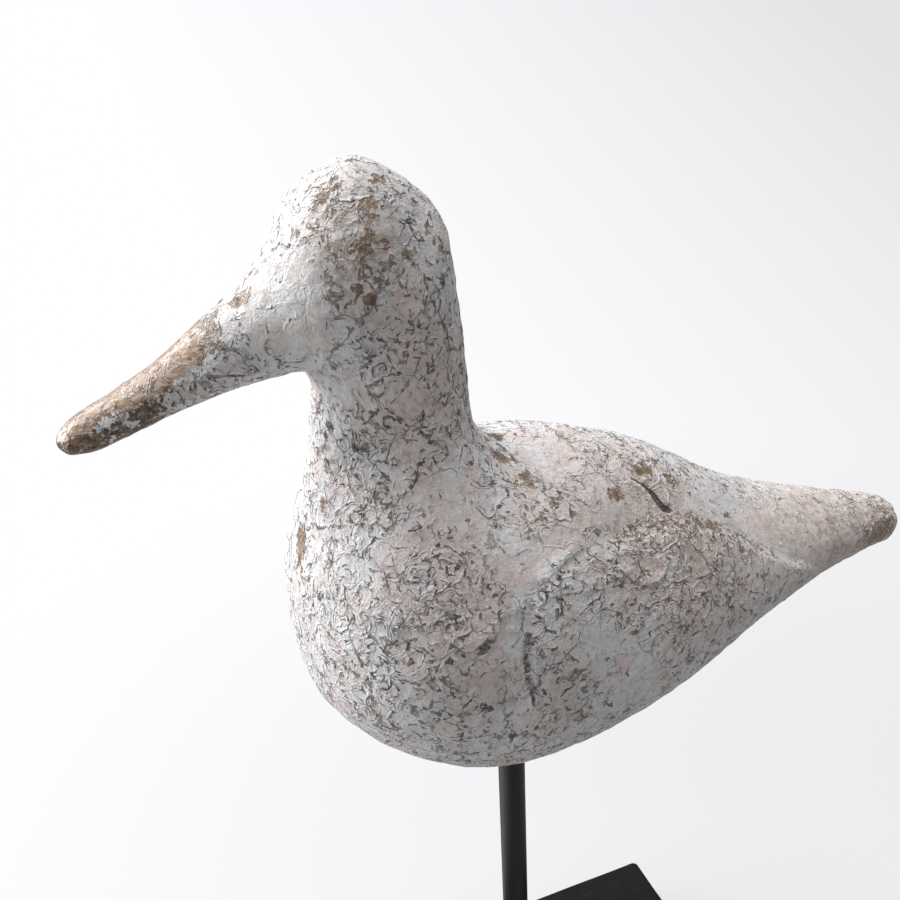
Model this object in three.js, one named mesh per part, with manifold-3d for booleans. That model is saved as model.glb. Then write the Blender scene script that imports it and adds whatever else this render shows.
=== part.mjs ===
// A carved shorebird with a long straight bill, held up on a thin rod that stands in a flat black base.
//
// Frame: +Z up, the bill points along -X and the tail along +X, and Y is across the bird.
// The origin is the middle of the base's underside, under the rod.
// Millimetres.
import * as THREE from 'three';
import * as BufferGeometryUtils from 'three/addons/utils/BufferGeometryUtils.js';
import Module from 'manifold-3d';

// Driving dimensions: the stand.
const BASE_LENGTH = 138;
const BASE_WIDTH = 72;
const BASE_THICKNESS = 16;
const BASE_CORNER_RADIUS = 2;
const BASE_EDGE_ROUNDING = 1;
const ROD_RADIUS = 4;
const ROD_DEPTH_IN_BASE = 10;
const ROD_DEPTH_IN_BELLY = 26;
const ROD_SIDES = 32;
const FIT_GAP = 0.3;

// Driving dimensions: the bird's ribs, from the tip of the bill to the tip of the tail.
// Each rib is one oval section. It runs from the ridge line over the back to the keel line under
// the bird, both given as [x, z] in the plane of symmetry, and it is twice halfWidth wide.
// The ribs fan out around the chin and around the corner between the neck and the back.
// sag moves the widest place down, towards the keel, as a part of the half width.
const RIBS = [
  { at: 'bill tip', ridge: [-103, 259], keel: [-103.5, 253.5], halfWidth: 4.3, sag: 0 },
  { at: 'bill front', ridge: [-90.5, 264.7], keel: [-95, 253], halfWidth: 5.6, sag: 0 },
  { at: 'bill middle', ridge: [-80.8, 269.5], keel: [-79.2, 257.8], halfWidth: 6.8, sag: 0 },
  { at: 'bill root', ridge: [-68.2, 278.2], keel: [-65, 261], halfWidth: 8.8, sag: 0 },
  { at: 'face', ridge: [-57.7, 285.7], keel: [-54.6, 262.5], halfWidth: 12, sag: 0 },
  { at: 'brow', ridge: [-52.2, 293.3], keel: [-48.8, 262.5], halfWidth: 15.5, sag: 0 },
  { at: 'forehead', ridge: [-45.5, 302.5], keel: [-47.8, 260.2], halfWidth: 18, sag: 0 },
  { at: 'crown', ridge: [-31.5, 307.5], keel: [-46.8, 257.5], halfWidth: 20, sag: 0 },
  { at: 'poll', ridge: [-15.7, 295.6], keel: [-46.9, 253], halfWidth: 20.5, sag: 0 },
  { at: 'nape', ridge: [-11.8, 275.5], keel: [-48.3, 247.2], halfWidth: 20.3, sag: 0 },
  { at: 'neck', ridge: [-10.7, 259.4], keel: [-49.3, 239.6], halfWidth: 20.6, sag: 0 },
  { at: 'neck root', ridge: [-9.3, 243.5], keel: [-51.6, 230.6], halfWidth: 25, sag: 0.05 },
  { at: 'shoulder', ridge: [-2, 235], keel: [-58.5, 202.2], halfWidth: 36.6, sag: 0.1 },
  { at: 'breast', ridge: [15, 233], keel: [-53.5, 172.3], halfWidth: 43.8, sag: 0.1 },
  { at: 'belly', ridge: [32.4, 227.4], keel: [-23, 147.6], halfWidth: 43.8, sag: 0.08 },
  { at: 'flank', ridge: [45.7, 221.3], keel: [23.4, 150], halfWidth: 39.7, sag: 0.05 },
  { at: 'rump', ridge: [75, 203.4], keel: [65.3, 165.4], halfWidth: 28.5, sag: 0 },
  { at: 'tail root', ridge: [105.8, 192.5], keel: [97, 169.5], halfWidth: 16.5, sag: 0 },
  { at: 'tail tip', ridge: [135, 183.7], keel: [132, 171.7], halfWidth: 7.7, sag: 0 },
];
const BILL_END_ROUNDING = 4;
const TAIL_END_ROUNDING = 6;

// Driving dimensions: the folded wings, carved in low relief on both flanks.
// The outline is seen from the side, as [x, z]: up the wing's front edge, over its shoulder and
// back along its upper edge until it dies out in the tail.
const WING_OUTLINE = [
  [-14, 182], [-14, 196], [-13, 208], [-8, 216], [6, 217.5],
  [20, 216.5], [32, 215.5], [44, 211.5], [56, 204.5], [68, 196], [80, 188.5], [94, 181],
];
const WING_GROOVE_DEPTH = 1.5;
const WING_GROOVE_REACH = 7;
const WING_EDGE_RAISE = 0.7;
const WING_EDGE_REACH = 8;
const WING_EDGE_SLOPE = 3.5;
const WING_FADE_AT_FOOT = 10;
const WING_FADE_AT_TAIL = 30;
// The relief leaves the ridge and the keel alone. These are parts of the section's half width.
const RELIEF_STARTS_AT = 0.2;
const RELIEF_FULL_AT = 0.5;

// How finely the bird's skin is divided, along it and around it, and how finely curves are measured.
const RINGS = 94;
const RING_SIDES = 48;
const CURVE_STEPS = 4000;
const WING_STEPS = 160;
const MERGE_DISTANCE = 1e-4;

const wasm = await Module();
wasm.setup();

// The ridge line and the keel line as smooth curves. Their y carries the half width and the sag.
const ridgeCurve = new THREE.CatmullRomCurve3(
  RIBS.map(({ ridge, halfWidth }) => new THREE.Vector3(ridge[0], halfWidth, ridge[1])), false, 'catmullrom');
const keelCurve = new THREE.CatmullRomCurve3(
  RIBS.map(({ keel, sag }) => new THREE.Vector3(keel[0], sag, keel[1])), false, 'catmullrom');
const wingCurve = new THREE.SplineCurve(WING_OUTLINE.map(([x, z]) => new THREE.Vector2(x, z)));
const wingSamples = wingCurve.getSpacedPoints(WING_STEPS);
const wingLength = wingCurve.getLength();

/** Distance between two curve points as seen from the side. */
function sideDistance(a, b) {
  return Math.hypot(a.x - b.x, a.z - b.z);
}

/** Ring places evenly spaced along the bird: the curve parameter t, and the travel from the bill tip. */
function ringPlaces() {
  const ridgePoints = ridgeCurve.getPoints(CURVE_STEPS);
  const keelPoints = keelCurve.getPoints(CURVE_STEPS);
  const travelTo = [0];
  for (let i = 1; i <= CURVE_STEPS; i++) {
    const ridgeStep = sideDistance(ridgePoints[i - 1], ridgePoints[i]);
    const keelStep = sideDistance(keelPoints[i - 1], keelPoints[i]);
    travelTo.push(travelTo[i - 1] + (ridgeStep + keelStep) / 2);
  }
  const places = [];
  let k = 0;
  for (let ring = 0; ring <= RINGS; ring++) {
    const travel = travelTo[CURVE_STEPS] * ring / RINGS;
    while (k < CURVE_STEPS - 1 && travelTo[k + 1] < travel) k++;
    const part = (travel - travelTo[k]) / (travelTo[k + 1] - travelTo[k]);
    places.push({ t: (k + part) / CURVE_STEPS, travel });
  }
  return places;
}

/** How far a section has opened at a distance from a rounded end: 0 at the tip, 1 past the rounding. */
function roundedEnd(distance, rounding) {
  const left = Math.max(1 - distance / rounding, 0);
  return Math.sqrt(1 - left * left);
}

/** Height of the wing's carved relief at a flank point seen from the side, in millimetres outwards. */
function wingRelief(x, z) {
  let best = Infinity;
  let nearest = 0;
  wingSamples.forEach((p, i) => {
    const d = Math.hypot(x - p.x, z - p.y);
    if (d < best) {
      best = d;
      nearest = i;
    }
  });
  const before = wingSamples[Math.max(nearest - 1, 0)];
  const after = wingSamples[Math.min(nearest + 1, wingSamples.length - 1)];
  const turn = (after.x - before.x) * (z - before.y) - (after.y - before.y) * (x - before.x);
  const outside = turn > 0 ? best : -best;
  const along = wingLength * nearest / (wingSamples.length - 1);
  const fade = THREE.MathUtils.smoothstep(along, 0, WING_FADE_AT_FOOT)
    * THREE.MathUtils.smoothstep(wingLength - along, 0, WING_FADE_AT_TAIL);
  const groove = -WING_GROOVE_DEPTH * Math.exp(-((Math.max(outside, 0) / WING_GROOVE_REACH) ** 2));
  const edge = WING_EDGE_RAISE * Math.exp(-((Math.min(outside, 0) / WING_EDGE_REACH) ** 2));
  const over = THREE.MathUtils.smoothstep(outside, -WING_EDGE_SLOPE, 0);
  return fade * (edge * (1 - over) + groove * over);
}

/** One oval ring of the skin, opened by a part of its full size, as a flat list of coordinates. */
function ringPoints(t, open) {
  const { x: ridgeX, y: halfWidth, z: ridgeZ } = ridgeCurve.getPoint(t);
  const { x: keelX, y: sag, z: keelZ } = keelCurve.getPoint(t);
  const points = [];
  for (let j = 0; j < RING_SIDES; j++) {
    const angle = 2 * Math.PI * j / RING_SIDES;
    const up = Math.cos(angle) * open / 2;
    const x = (ridgeX + keelX) / 2 + (ridgeX - keelX) * up;
    const z = (ridgeZ + keelZ) / 2 + (ridgeZ - keelZ) * up;
    const side = halfWidth * open * Math.sin(angle) * (1 - sag * Math.cos(angle));
    const onFlank = THREE.MathUtils.smoothstep(Math.abs(Math.sin(angle)), RELIEF_STARTS_AT, RELIEF_FULL_AT);
    points.push(x, side + Math.sign(side) * wingRelief(x, z) * onFlank, z);
  }
  return points;
}

/** The middle of the section at t, as a flat list of coordinates. */
function sectionMiddle(t) {
  const ridge = ridgeCurve.getPoint(t);
  const keel = keelCurve.getPoint(t);
  return [(ridge.x + keel.x) / 2, 0, (ridge.z + keel.z) / 2];
}

/** The triangles between the tip point, the rings and the end point. */
function skinTriangles() {
  const ringStart = (ring) => 1 + (ring - 1) * RING_SIDES;
  const tip = 0;
  const end = ringStart(RINGS);
  const index = [];
  for (let j = 0; j < RING_SIDES; j++) {
    const next = (j + 1) % RING_SIDES;
    index.push(tip, ringStart(1) + j, ringStart(1) + next);
    for (let ring = 1; ring < RINGS - 1; ring++) {
      const a = ringStart(ring) + j;
      const b = ringStart(ring) + next;
      index.push(a, b + RING_SIDES, b, a, a + RING_SIDES, b + RING_SIDES);
    }
    index.push(end, ringStart(RINGS - 1) + next, ringStart(RINGS - 1) + j);
  }
  return index;
}

/** The bird's skin: an oval ring at each ring place, closed by one point at each tip. */
function birdSkin() {
  const places = ringPlaces();
  const length = places[RINGS].travel;
  const positions = sectionMiddle(places[0].t);
  for (const { t, travel } of places.slice(1, RINGS)) {
    const open = roundedEnd(travel, BILL_END_ROUNDING) * roundedEnd(length - travel, TAIL_END_ROUNDING);
    positions.push(...ringPoints(t, open));
  }
  positions.push(...sectionMiddle(places[RINGS].t));
  const skin = new THREE.BufferGeometry();
  skin.setAttribute('position', new THREE.Float32BufferAttribute(positions, 3));
  skin.setIndex(skinTriangles());
  return skin;
}

/** A closed three.js geometry as a solid that can be cut. */
function solidOf(geometry) {
  const bare = geometry.clone();
  bare.deleteAttribute('normal');
  bare.deleteAttribute('uv');
  const merged = BufferGeometryUtils.mergeVertices(bare, MERGE_DISTANCE);
  return new wasm.Manifold(new wasm.Mesh({
    numProp: 3,
    vertProperties: new Float32Array(merged.attributes.position.array),
    triVerts: new Uint32Array(merged.index.array),
  }));
}

/** A solid back as a three.js geometry. */
function geometryOf(solid) {
  const mesh = solid.getMesh();
  const geometry = new THREE.BufferGeometry();
  geometry.setAttribute('position', new THREE.Float32BufferAttribute(mesh.vertProperties, 3));
  geometry.setIndex(new THREE.Uint32BufferAttribute(mesh.triVerts, 1));
  geometry.computeVertexNormals();
  return geometry;
}

/** An upright round bar between two heights on the rod's axis. */
function uprightBar(radius, from, to) {
  return new THREE.CylinderGeometry(radius, radius, to - from, ROD_SIDES)
    .rotateX(Math.PI / 2)
    .translate(0, 0, (from + to) / 2);
}

/** Height of the belly's underside on the rod's axis, where the keel line first passes x = 0. */
function bellyHeight() {
  const keelPoints = keelCurve.getPoints(CURVE_STEPS);
  return keelPoints.find((point) => point.x >= 0).z;
}

const BELLY_HEIGHT = bellyHeight();
const ROD_BOTTOM = BASE_THICKNESS - ROD_DEPTH_IN_BASE + FIT_GAP;
const SOCKET_TOP = BELLY_HEIGHT + ROD_DEPTH_IN_BELLY;
const ROD_TOP = SOCKET_TOP - FIT_GAP;

/** The bird, carved as one piece, with a blind socket for the rod in its belly. */
function makeBird() {
  const socket = uprightBar(ROD_RADIUS + FIT_GAP, BELLY_HEIGHT - ROD_DEPTH_IN_BELLY, SOCKET_TOP);
  const geometry = geometryOf(solidOf(birdSkin()).subtract(solidOf(socket)));
  const paint = new THREE.MeshStandardMaterial({ color: 0xc9c5be, roughness: 0.75, metalness: 0 });
  const bird = new THREE.Mesh(geometry, paint);
  bird.name = 'bird';
  return bird;
}

/** The round black rod, from its hole in the base up into the belly. */
function makeRod() {
  const black = new THREE.MeshStandardMaterial({ color: 0x1c1c1c, roughness: 0.45, metalness: 0.4 });
  const rod = new THREE.Mesh(uprightBar(ROD_RADIUS, ROD_BOTTOM, ROD_TOP), black);
  rod.name = 'rod';
  return rod;
}

/** The flat black base, with softened edges and a blind hole for the rod. */
function makeBase() {
  const halfLength = BASE_LENGTH / 2 - BASE_EDGE_ROUNDING;
  const halfWidth = BASE_WIDTH / 2 - BASE_EDGE_ROUNDING;
  const r = BASE_CORNER_RADIUS;
  const outline = new THREE.Shape();
  outline.moveTo(-halfLength + r, -halfWidth);
  outline.lineTo(halfLength - r, -halfWidth);
  outline.absarc(halfLength - r, -halfWidth + r, r, -Math.PI / 2, 0);
  outline.lineTo(halfLength, halfWidth - r);
  outline.absarc(halfLength - r, halfWidth - r, r, 0, Math.PI / 2);
  outline.lineTo(-halfLength + r, halfWidth);
  outline.absarc(-halfLength + r, halfWidth - r, r, Math.PI / 2, Math.PI);
  outline.lineTo(-halfLength, -halfWidth + r);
  outline.absarc(-halfLength + r, -halfWidth + r, r, Math.PI, 1.5 * Math.PI);
  const block = new THREE.ExtrudeGeometry(outline, {
    depth: BASE_THICKNESS - 2 * BASE_EDGE_ROUNDING,
    bevelThickness: BASE_EDGE_ROUNDING,
    bevelSize: BASE_EDGE_ROUNDING,
    bevelSegments: 2,
    curveSegments: 4,
  }).translate(0, 0, BASE_EDGE_ROUNDING);
  const holeFloor = BASE_THICKNESS - ROD_DEPTH_IN_BASE;
  const hole = uprightBar(ROD_RADIUS + FIT_GAP, holeFloor, BASE_THICKNESS + ROD_DEPTH_IN_BASE);
  const geometry = geometryOf(solidOf(block).subtract(solidOf(hole)));
  const black = new THREE.MeshStandardMaterial({ color: 0x222222, roughness: 0.6, metalness: 0 });
  const base = new THREE.Mesh(geometry, black);
  base.name = 'base';
  return base;
}

const group = new THREE.Group();
group.add(makeBird(), makeRod(), makeBase());

export default group;
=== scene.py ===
import math
import bpy
import numpy as np
from mathutils import Matrix, Vector


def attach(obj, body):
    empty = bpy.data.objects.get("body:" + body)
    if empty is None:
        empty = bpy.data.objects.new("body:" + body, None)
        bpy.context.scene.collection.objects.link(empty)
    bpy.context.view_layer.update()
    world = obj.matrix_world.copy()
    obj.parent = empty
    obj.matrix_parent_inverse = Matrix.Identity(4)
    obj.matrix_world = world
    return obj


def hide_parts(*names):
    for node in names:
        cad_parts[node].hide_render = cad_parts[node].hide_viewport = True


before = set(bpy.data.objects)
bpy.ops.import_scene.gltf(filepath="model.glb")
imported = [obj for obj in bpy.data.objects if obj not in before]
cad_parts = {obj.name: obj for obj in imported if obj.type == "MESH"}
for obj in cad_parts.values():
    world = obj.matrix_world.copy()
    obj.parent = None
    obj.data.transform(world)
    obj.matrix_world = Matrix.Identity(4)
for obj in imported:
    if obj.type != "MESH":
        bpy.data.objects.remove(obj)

scene = bpy.context.scene
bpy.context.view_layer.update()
MM = 0.001

# The base: a flat oblong block of wood that the rod is let into. Its edges and corners are eased
# with sandpaper, and it is brushed with thin matt black stain that leaves the top slightly uneven.
BASE_LENGTH = 138.0
BASE_WIDTH = 72.0
BASE_THICKNESS = 16.0
BASE_CORNER_RADIUS = 2.0
BASE_EDGE_ROUNDING = 1.0
BASE_POINTS_AROUND = 420
BASE_RINGS_ACROSS = 56
BLACK_STAIN = (0.0045, 0.0044, 0.0043, 1.0)
RUBBED_STAIN = (0.015, 0.0145, 0.014, 1.0)


def lattice_noise(points, size, seed):
    """Smooth noise, about -1 to 1: each corner of a lattice of cubes of this size holds a random slope, and
    inside a cube the eight slopes' heights are blended with 6t^5 - 15t^4 + 10t^3 along each axis."""
    rng = np.random.default_rng(seed)
    shuffled = rng.permutation(256)
    slopes = rng.normal(size=(256, 3))
    slopes /= np.linalg.norm(slopes, axis=1, keepdims=True)
    place = points / size + rng.uniform(0, 64, 3)
    cell = np.floor(place).astype(np.int64)
    inside = place - cell
    blend = inside**3 * (inside * (inside * 6 - 15) + 10)
    height = np.zeros(len(points))
    for corner in np.ndindex(2, 2, 2):
        i, j, k = ((cell + corner) % 256).T
        slope = slopes[shuffled[(shuffled[(shuffled[i] + j) % 256] + k) % 256]]
        share = np.where(np.array(corner) == 1, blend, 1 - blend).prod(axis=1)
        height += share * ((inside - corner) * slope).sum(axis=1)
    return height * 1.6


def ease(value, low, high):
    """0 below low, 1 above high, and 3t^2 - 2t^3 between."""
    t = np.clip((value - low) / (high - low), 0, 1)
    return t * t * (3 - 2 * t)


def shell(name, grid):
    """A mesh of a grid of points, rows along the piece and columns round it, clockwise seen from beyond the
    last row, so that the faces point outwards. Each end is closed by a fan to the mean of its row. The
    points are in millimetres, and the mesh is in metres."""
    rows, columns = grid.shape[:2]
    points = np.concatenate([grid.reshape(-1, 3), grid[:1].mean(axis=1), grid[-1:].mean(axis=1)])
    row, column = np.meshgrid(np.arange(rows - 1), np.arange(columns), indexing="ij")
    here = (row * columns + column).ravel()
    beside = (row * columns + (column + 1) % columns).ravel()
    quads = np.stack([here, here + columns, beside + columns, beside], axis=1)
    edge = np.arange(columns)
    after = (edge + 1) % columns
    last = (rows - 1) * columns
    first_fan = np.stack([edge, after, np.full(columns, rows * columns)], axis=1)
    last_fan = np.stack([last + after, last + edge, np.full(columns, rows * columns + 1)], axis=1)
    loops = np.concatenate([quads.ravel(), first_fan.ravel(), last_fan.ravel()])
    sizes = np.concatenate([np.full(len(quads), 4), np.full(2 * columns, 3)])
    mesh = bpy.data.meshes.new(name)
    mesh.vertices.add(len(points))
    mesh.vertices.foreach_set("co", (points * MM).astype(np.float32).ravel())
    mesh.loops.add(len(loops))
    mesh.loops.foreach_set("vertex_index", loops.astype(np.int32))
    mesh.polygons.add(len(sizes))
    mesh.polygons.foreach_set("loop_start", (np.cumsum(sizes) - sizes).astype(np.int32))
    mesh.polygons.foreach_set("use_smooth", np.ones(len(sizes), bool))
    mesh.update(calc_edges=True)
    mesh.validate()
    piece = bpy.data.objects.new(name, mesh)
    scene.collection.objects.link(piece)
    return piece


def base_block():
    """Round the plan: an oblong with eased corners, as a function of the turn. From the underside's middle
    to the top's middle: that oblong grown from nothing, carried up the side with both edges rounded, and
    shrunk again."""
    turn = np.linspace(0, 2 * math.pi, BASE_POINTS_AROUND, endpoint=False)
    half = np.array([BASE_LENGTH, BASE_WIDTH]) / 2 - BASE_CORNER_RADIUS
    run = turn / (2 * math.pi) * 4
    side = np.floor(run).astype(int)
    along = run - side
    corner_share = 0.12
    straight = np.clip((along - corner_share) / (1 - 2 * corner_share), 0, 1) * 2 - 1
    lead = np.clip(along / corner_share, 0, 1) - 1
    trail = np.clip((along - 1 + corner_share) / corner_share, 0, 1)
    bend = (lead + trail) * math.pi / 4
    outward = side * math.pi / 2 + bend
    starts = np.array([[1, -1], [1, 1], [-1, 1], [-1, -1]])
    ends = np.array([[1, 1], [-1, 1], [-1, -1], [1, -1]])
    a, b = starts[side] * half, ends[side] * half
    core = a + (b - a) * (straight[:, None] + 1) / 2
    rim = np.stack([np.cos(outward), np.sin(outward)], axis=1)
    grow = np.linspace(0, 1, BASE_RINGS_ACROSS)[1:] ** 0.8
    swing = np.linspace(-math.pi / 2, 0, 5)
    rounding = BASE_EDGE_ROUNDING
    flat = np.stack([grow * 0, grow * 0, grow], axis=1)
    low = np.stack([rounding * (1 + np.sin(swing)), rounding * np.cos(swing), np.ones(5)], axis=1)
    rise = np.linspace(rounding, BASE_THICKNESS - rounding, 12)[1:-1]
    wall = np.stack([rise, np.full(10, rounding), np.ones(10)], axis=1)
    high = low[::-1] * (-1, 1, 1) + (BASE_THICKNESS, 0, 0)
    top = flat[::-1].copy()
    top[:, 0] = BASE_THICKNESS
    profile = np.concatenate([flat[:-1], low, wall, high, top[1:]])
    height, out, scale = profile[:, 0], profile[:, 1], profile[:, 2]
    reach = BASE_CORNER_RADIUS - rounding + out
    plan = core[None] * scale[:, None, None] + rim[None] * (reach * scale)[:, None, None]
    grid = np.concatenate([plan, np.broadcast_to(height[:, None, None], plan.shape[:2] + (1,))], axis=2)
    flat_points = grid.reshape(-1, 3)
    uneven = 0.16 * lattice_noise(flat_points * (0.5, 1, 1), 9, 11)
    uneven += 0.05 * lattice_noise(flat_points, 2.2, 12)
    uneven = uneven.reshape(grid.shape[:2]) - 0.1
    above = ease(grid[..., 2], 1.0, 3.0)
    grid[..., 2] += np.where(grid[..., 2] > BASE_THICKNESS - 0.6, uneven, 0) * above
    edge_wave = 0.22 * lattice_noise(flat_points, 14, 13).reshape(grid.shape[:2]) - 0.12
    grid[..., :2] *= 1 + (edge_wave * above * scale[:, None] ** 8 / 60)[..., None]
    return grid[:, ::-1]


def put(tree, kind, inputs=None, **settings):
    """Adds a node. settings are its own options; inputs are numbers or sockets, by name or place."""
    node = tree.nodes.new(kind)
    for name, value in settings.items():
        setattr(node, name, value)
    for name, value in (inputs or {}).items():
        if isinstance(value, bpy.types.NodeSocket):
            tree.links.new(value, node.inputs[name])
        else:
            node.inputs[name].default_value = value
    return node


def maths(tree, operation, a, b=0.0, c=0.0, clamp=False):
    """One Math node's result."""
    node = put(tree, "ShaderNodeMath", {0: a, 1: b, 2: c}, operation=operation, use_clamp=clamp)
    return node.outputs[0]


def between(tree, value, low, high):
    """0 at low and 1 at high with a smooth step between, or the other way round where low is the larger."""
    inputs = {"Value": value, "From Min": low, "From Max": high}
    return put(tree, "ShaderNodeMapRange", inputs, interpolation_type="SMOOTHSTEP").outputs[0]


def cloud(tree, place, size, detail=2.0, roughness=0.5, distortion=0.0):
    """Noise, about 0 to 1, whose blotches are about this many millimetres across."""
    inputs = {"Vector": place, "Scale": 1.0 / size, "Detail": detail}
    inputs |= {"Roughness": roughness, "Distortion": distortion}
    return put(tree, "ShaderNodeTexNoise", inputs).outputs[0]


def mixed(tree, share, first, second):
    """A colour: the first where share is 0 and the second where it is 1."""
    inputs = {0: share, 6: first, 7: second}
    return put(tree, "ShaderNodeMix", inputs, data_type="RGBA").outputs[2]


def finish_of(name):
    """A new material with its Principled shader, its tree and the place on the piece in millimetres."""
    material = bpy.data.materials.new(name)
    material.use_nodes = True
    tree = material.node_tree
    spot = put(tree, "ShaderNodeTexCoord").outputs["Object"]
    place = put(tree, "ShaderNodeVectorMath", {0: spot, "Scale": 1 / MM}, operation="SCALE")
    return material, tree, tree.nodes["Principled BSDF"], place.outputs[0]


def bumped(tree, shader, height):
    """Gives a shader a relief, whose height is in millimetres."""
    bump = put(tree, "ShaderNodeBump", {"Height": height, "Distance": MM, "Strength": 1.0})
    tree.links.new(bump.outputs[0], shader.inputs["Normal"])


def brushed_black_group():
    """Brush marks in thin black paint: streaks along one way, thin rubbed places, and a fine tooth."""
    tree = bpy.data.node_groups.new("brushed_black", "ShaderNodeTree")
    tree.interface.new_socket("Place", in_out="INPUT", socket_type="NodeSocketVector")
    tree.interface.new_socket("Rubbed", in_out="INPUT", socket_type="NodeSocketFloat")
    tree.interface.new_socket("Thin", in_out="OUTPUT", socket_type="NodeSocketFloat")
    tree.interface.new_socket("Height", in_out="OUTPUT", socket_type="NodeSocketFloat")
    start = tree.nodes.new("NodeGroupInput")
    end = tree.nodes.new("NodeGroupOutput")
    along = {"Vector": start.outputs["Place"], "Scale": (0.22, 1, 1)}
    streaks = cloud(tree, put(tree, "ShaderNodeMapping", along).outputs[0], 1.3, 4, 0.6)
    blotches = cloud(tree, start.outputs["Place"], 7, 3)
    tooth = cloud(tree, start.outputs["Place"], 0.45, 2)
    worn = maths(tree, "MULTIPLY", between(tree, streaks, 0.45, 0.75), between(tree, blotches, 0.35, 0.65))
    thin = maths(tree, "MULTIPLY", worn, start.outputs["Rubbed"], clamp=True)
    height = maths(tree, "MULTIPLY_ADD", streaks, 0.05, maths(tree, "MULTIPLY", tooth, 0.03))
    tree.links.new(thin, end.inputs["Thin"])
    tree.links.new(height, end.inputs["Height"])
    return tree


brushed_black = brushed_black_group()


def black_finish(name, paint, worn_paint, rubbed, roughness, shine):
    """Black paint with the shared brush marks in it."""
    material, tree, shader, place = finish_of(name)
    shader.inputs["Specular IOR Level"].default_value = shine
    marks = put(tree, "ShaderNodeGroup", node_tree=brushed_black)
    tree.links.new(place, marks.inputs["Place"])
    marks.inputs["Rubbed"].default_value = rubbed
    thin = marks.outputs["Thin"]
    tree.links.new(mixed(tree, thin, paint, worn_paint), shader.inputs["Base Color"])
    tree.links.new(maths(tree, "MULTIPLY_ADD", thin, 0.2, roughness), shader.inputs["Roughness"])
    bumped(tree, shader, marks.outputs["Height"])
    return material


base = shell("base_block", base_block())
stain = black_finish("black_stain", BLACK_STAIN, RUBBED_STAIN, rubbed=1.0, roughness=0.6, shine=0.13)
base.data.materials.append(stain)
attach(base, "root")
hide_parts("base")

# The rod: a straight 8 mm steel bar with smooth black paint. It stands in a blind hole in the base
# and runs 26 mm up into the belly, and nothing else holds the bird.
ROD_RADIUS = 4.0
ROD_BOTTOM = BASE_THICKNESS - 9.7
ROD_TOP = 172.0
ROD_POINTS_AROUND = 96
ROD_RINGS = 160
ROD_PAINT = (0.0070, 0.0070, 0.0073, 1.0)
ROD_PAINT_THIN = (0.016, 0.016, 0.016, 1.0)


def bar(radius, low, high, around, rings):
    """A circle carried straight up, its radius drawn in at both ends by the edge's rounding."""
    turn = np.linspace(0, 2 * math.pi, around, endpoint=False)
    swing = np.linspace(0, math.pi / 2, 5)
    edge = 0.4
    wall = np.linspace(low + edge, high - edge, rings)[1:-1]
    rounding = edge * (1 - np.cos(swing))
    height = np.concatenate([low + rounding, wall, high - rounding[::-1]])
    end = edge * (1 - np.sin(swing))
    drawn_in = np.concatenate([end, np.zeros(rings - 2), end[::-1]])
    x = (radius - drawn_in)[:, None] * np.cos(turn)
    y = (radius - drawn_in)[:, None] * np.sin(turn)
    z = np.broadcast_to(height[:, None], x.shape)
    grid = np.stack([x, y, z], axis=2)
    wave = 0.02 * lattice_noise(grid.reshape(-1, 3), 5, 21).reshape(x.shape)
    grid[..., :2] *= (1 + wave / radius)[..., None]
    return grid[:, ::-1]


rod = shell("stand_rod", bar(ROD_RADIUS, ROD_BOTTOM, ROD_TOP, ROD_POINTS_AROUND, ROD_RINGS))
paint = black_finish("black_rod_paint", ROD_PAINT, ROD_PAINT_THIN, rubbed=0.5, roughness=0.42, shine=0.42)
rod.data.materials.append(paint)
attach(rod, "root")
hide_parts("rod")

# The bird: one block of wood carved as a plain shore bird with a long bill and folded wings in low relief.
# A glossy brown coat is covered with thick whitewash, dabbed on in layers that end in ragged edges, then
# rubbed through to the brown on the bill, round the eye and on the wings' edges.

# Each rib runs from a point on the back's line to one on the belly's: x and z of both, half width, sag.
RIBS = np.array([
    [-103, 259, -103.5, 253.5, 4.3, 0],
    [-90.5, 264.7, -95, 253, 5.6, 0],
    [-80.8, 269.5, -79.2, 257.8, 6.8, 0],
    [-68.2, 278.2, -65, 261, 8.8, 0],
    [-57.7, 285.7, -54.6, 262.5, 12, 0],
    [-52.2, 293.3, -48.8, 262.5, 15.5, 0],
    [-45.5, 302.5, -47.8, 260.2, 18, 0],
    [-31.5, 307.5, -46.8, 257.5, 20, 0],
    [-15.7, 295.6, -46.9, 253, 20.5, 0],
    [-11.8, 275.5, -48.3, 247.2, 20.3, 0],
    [-10.7, 259.4, -49.3, 239.6, 20.6, 0],
    [-9.3, 243.5, -51.6, 230.6, 25, 0.05],
    [-2, 235, -58.5, 202.2, 36.6, 0.1],
    [15, 233, -53.5, 172.3, 43.8, 0.1],
    [32.4, 227.4, -23, 147.6, 43.8, 0.08],
    [45.7, 221.3, 23.4, 150, 39.7, 0.05],
    [75, 203.4, 65.3, 165.4, 28.5, 0],
    [105.8, 192.5, 97, 169.5, 16.5, 0],
    [135, 183.7, 132, 171.7, 7.7, 0],
])
BILL_END_ROUNDING = 4.0
TAIL_END_ROUNDING = 6.0
BIRD_RINGS = 378
BIRD_SIDES = 256
WING_OUTLINE = np.array([
    [-14, 182], [-14, 196], [-13, 208], [-8, 216], [6, 217.5], [20, 216.5],
    [32, 215.5], [44, 211.5], [56, 204.5], [68, 196], [80, 188.5], [94, 181],
])
WING_GROOVE_DEPTH = 1.5
WING_GROOVE_REACH = 7.0
WING_EDGE_RAISE = 0.7
WING_EDGE_REACH = 8.0
WING_EDGE_SLOPE = 2.0
WING_FADE_AT_FOOT = 10.0
WING_FADE_AT_TAIL = 30.0


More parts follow.
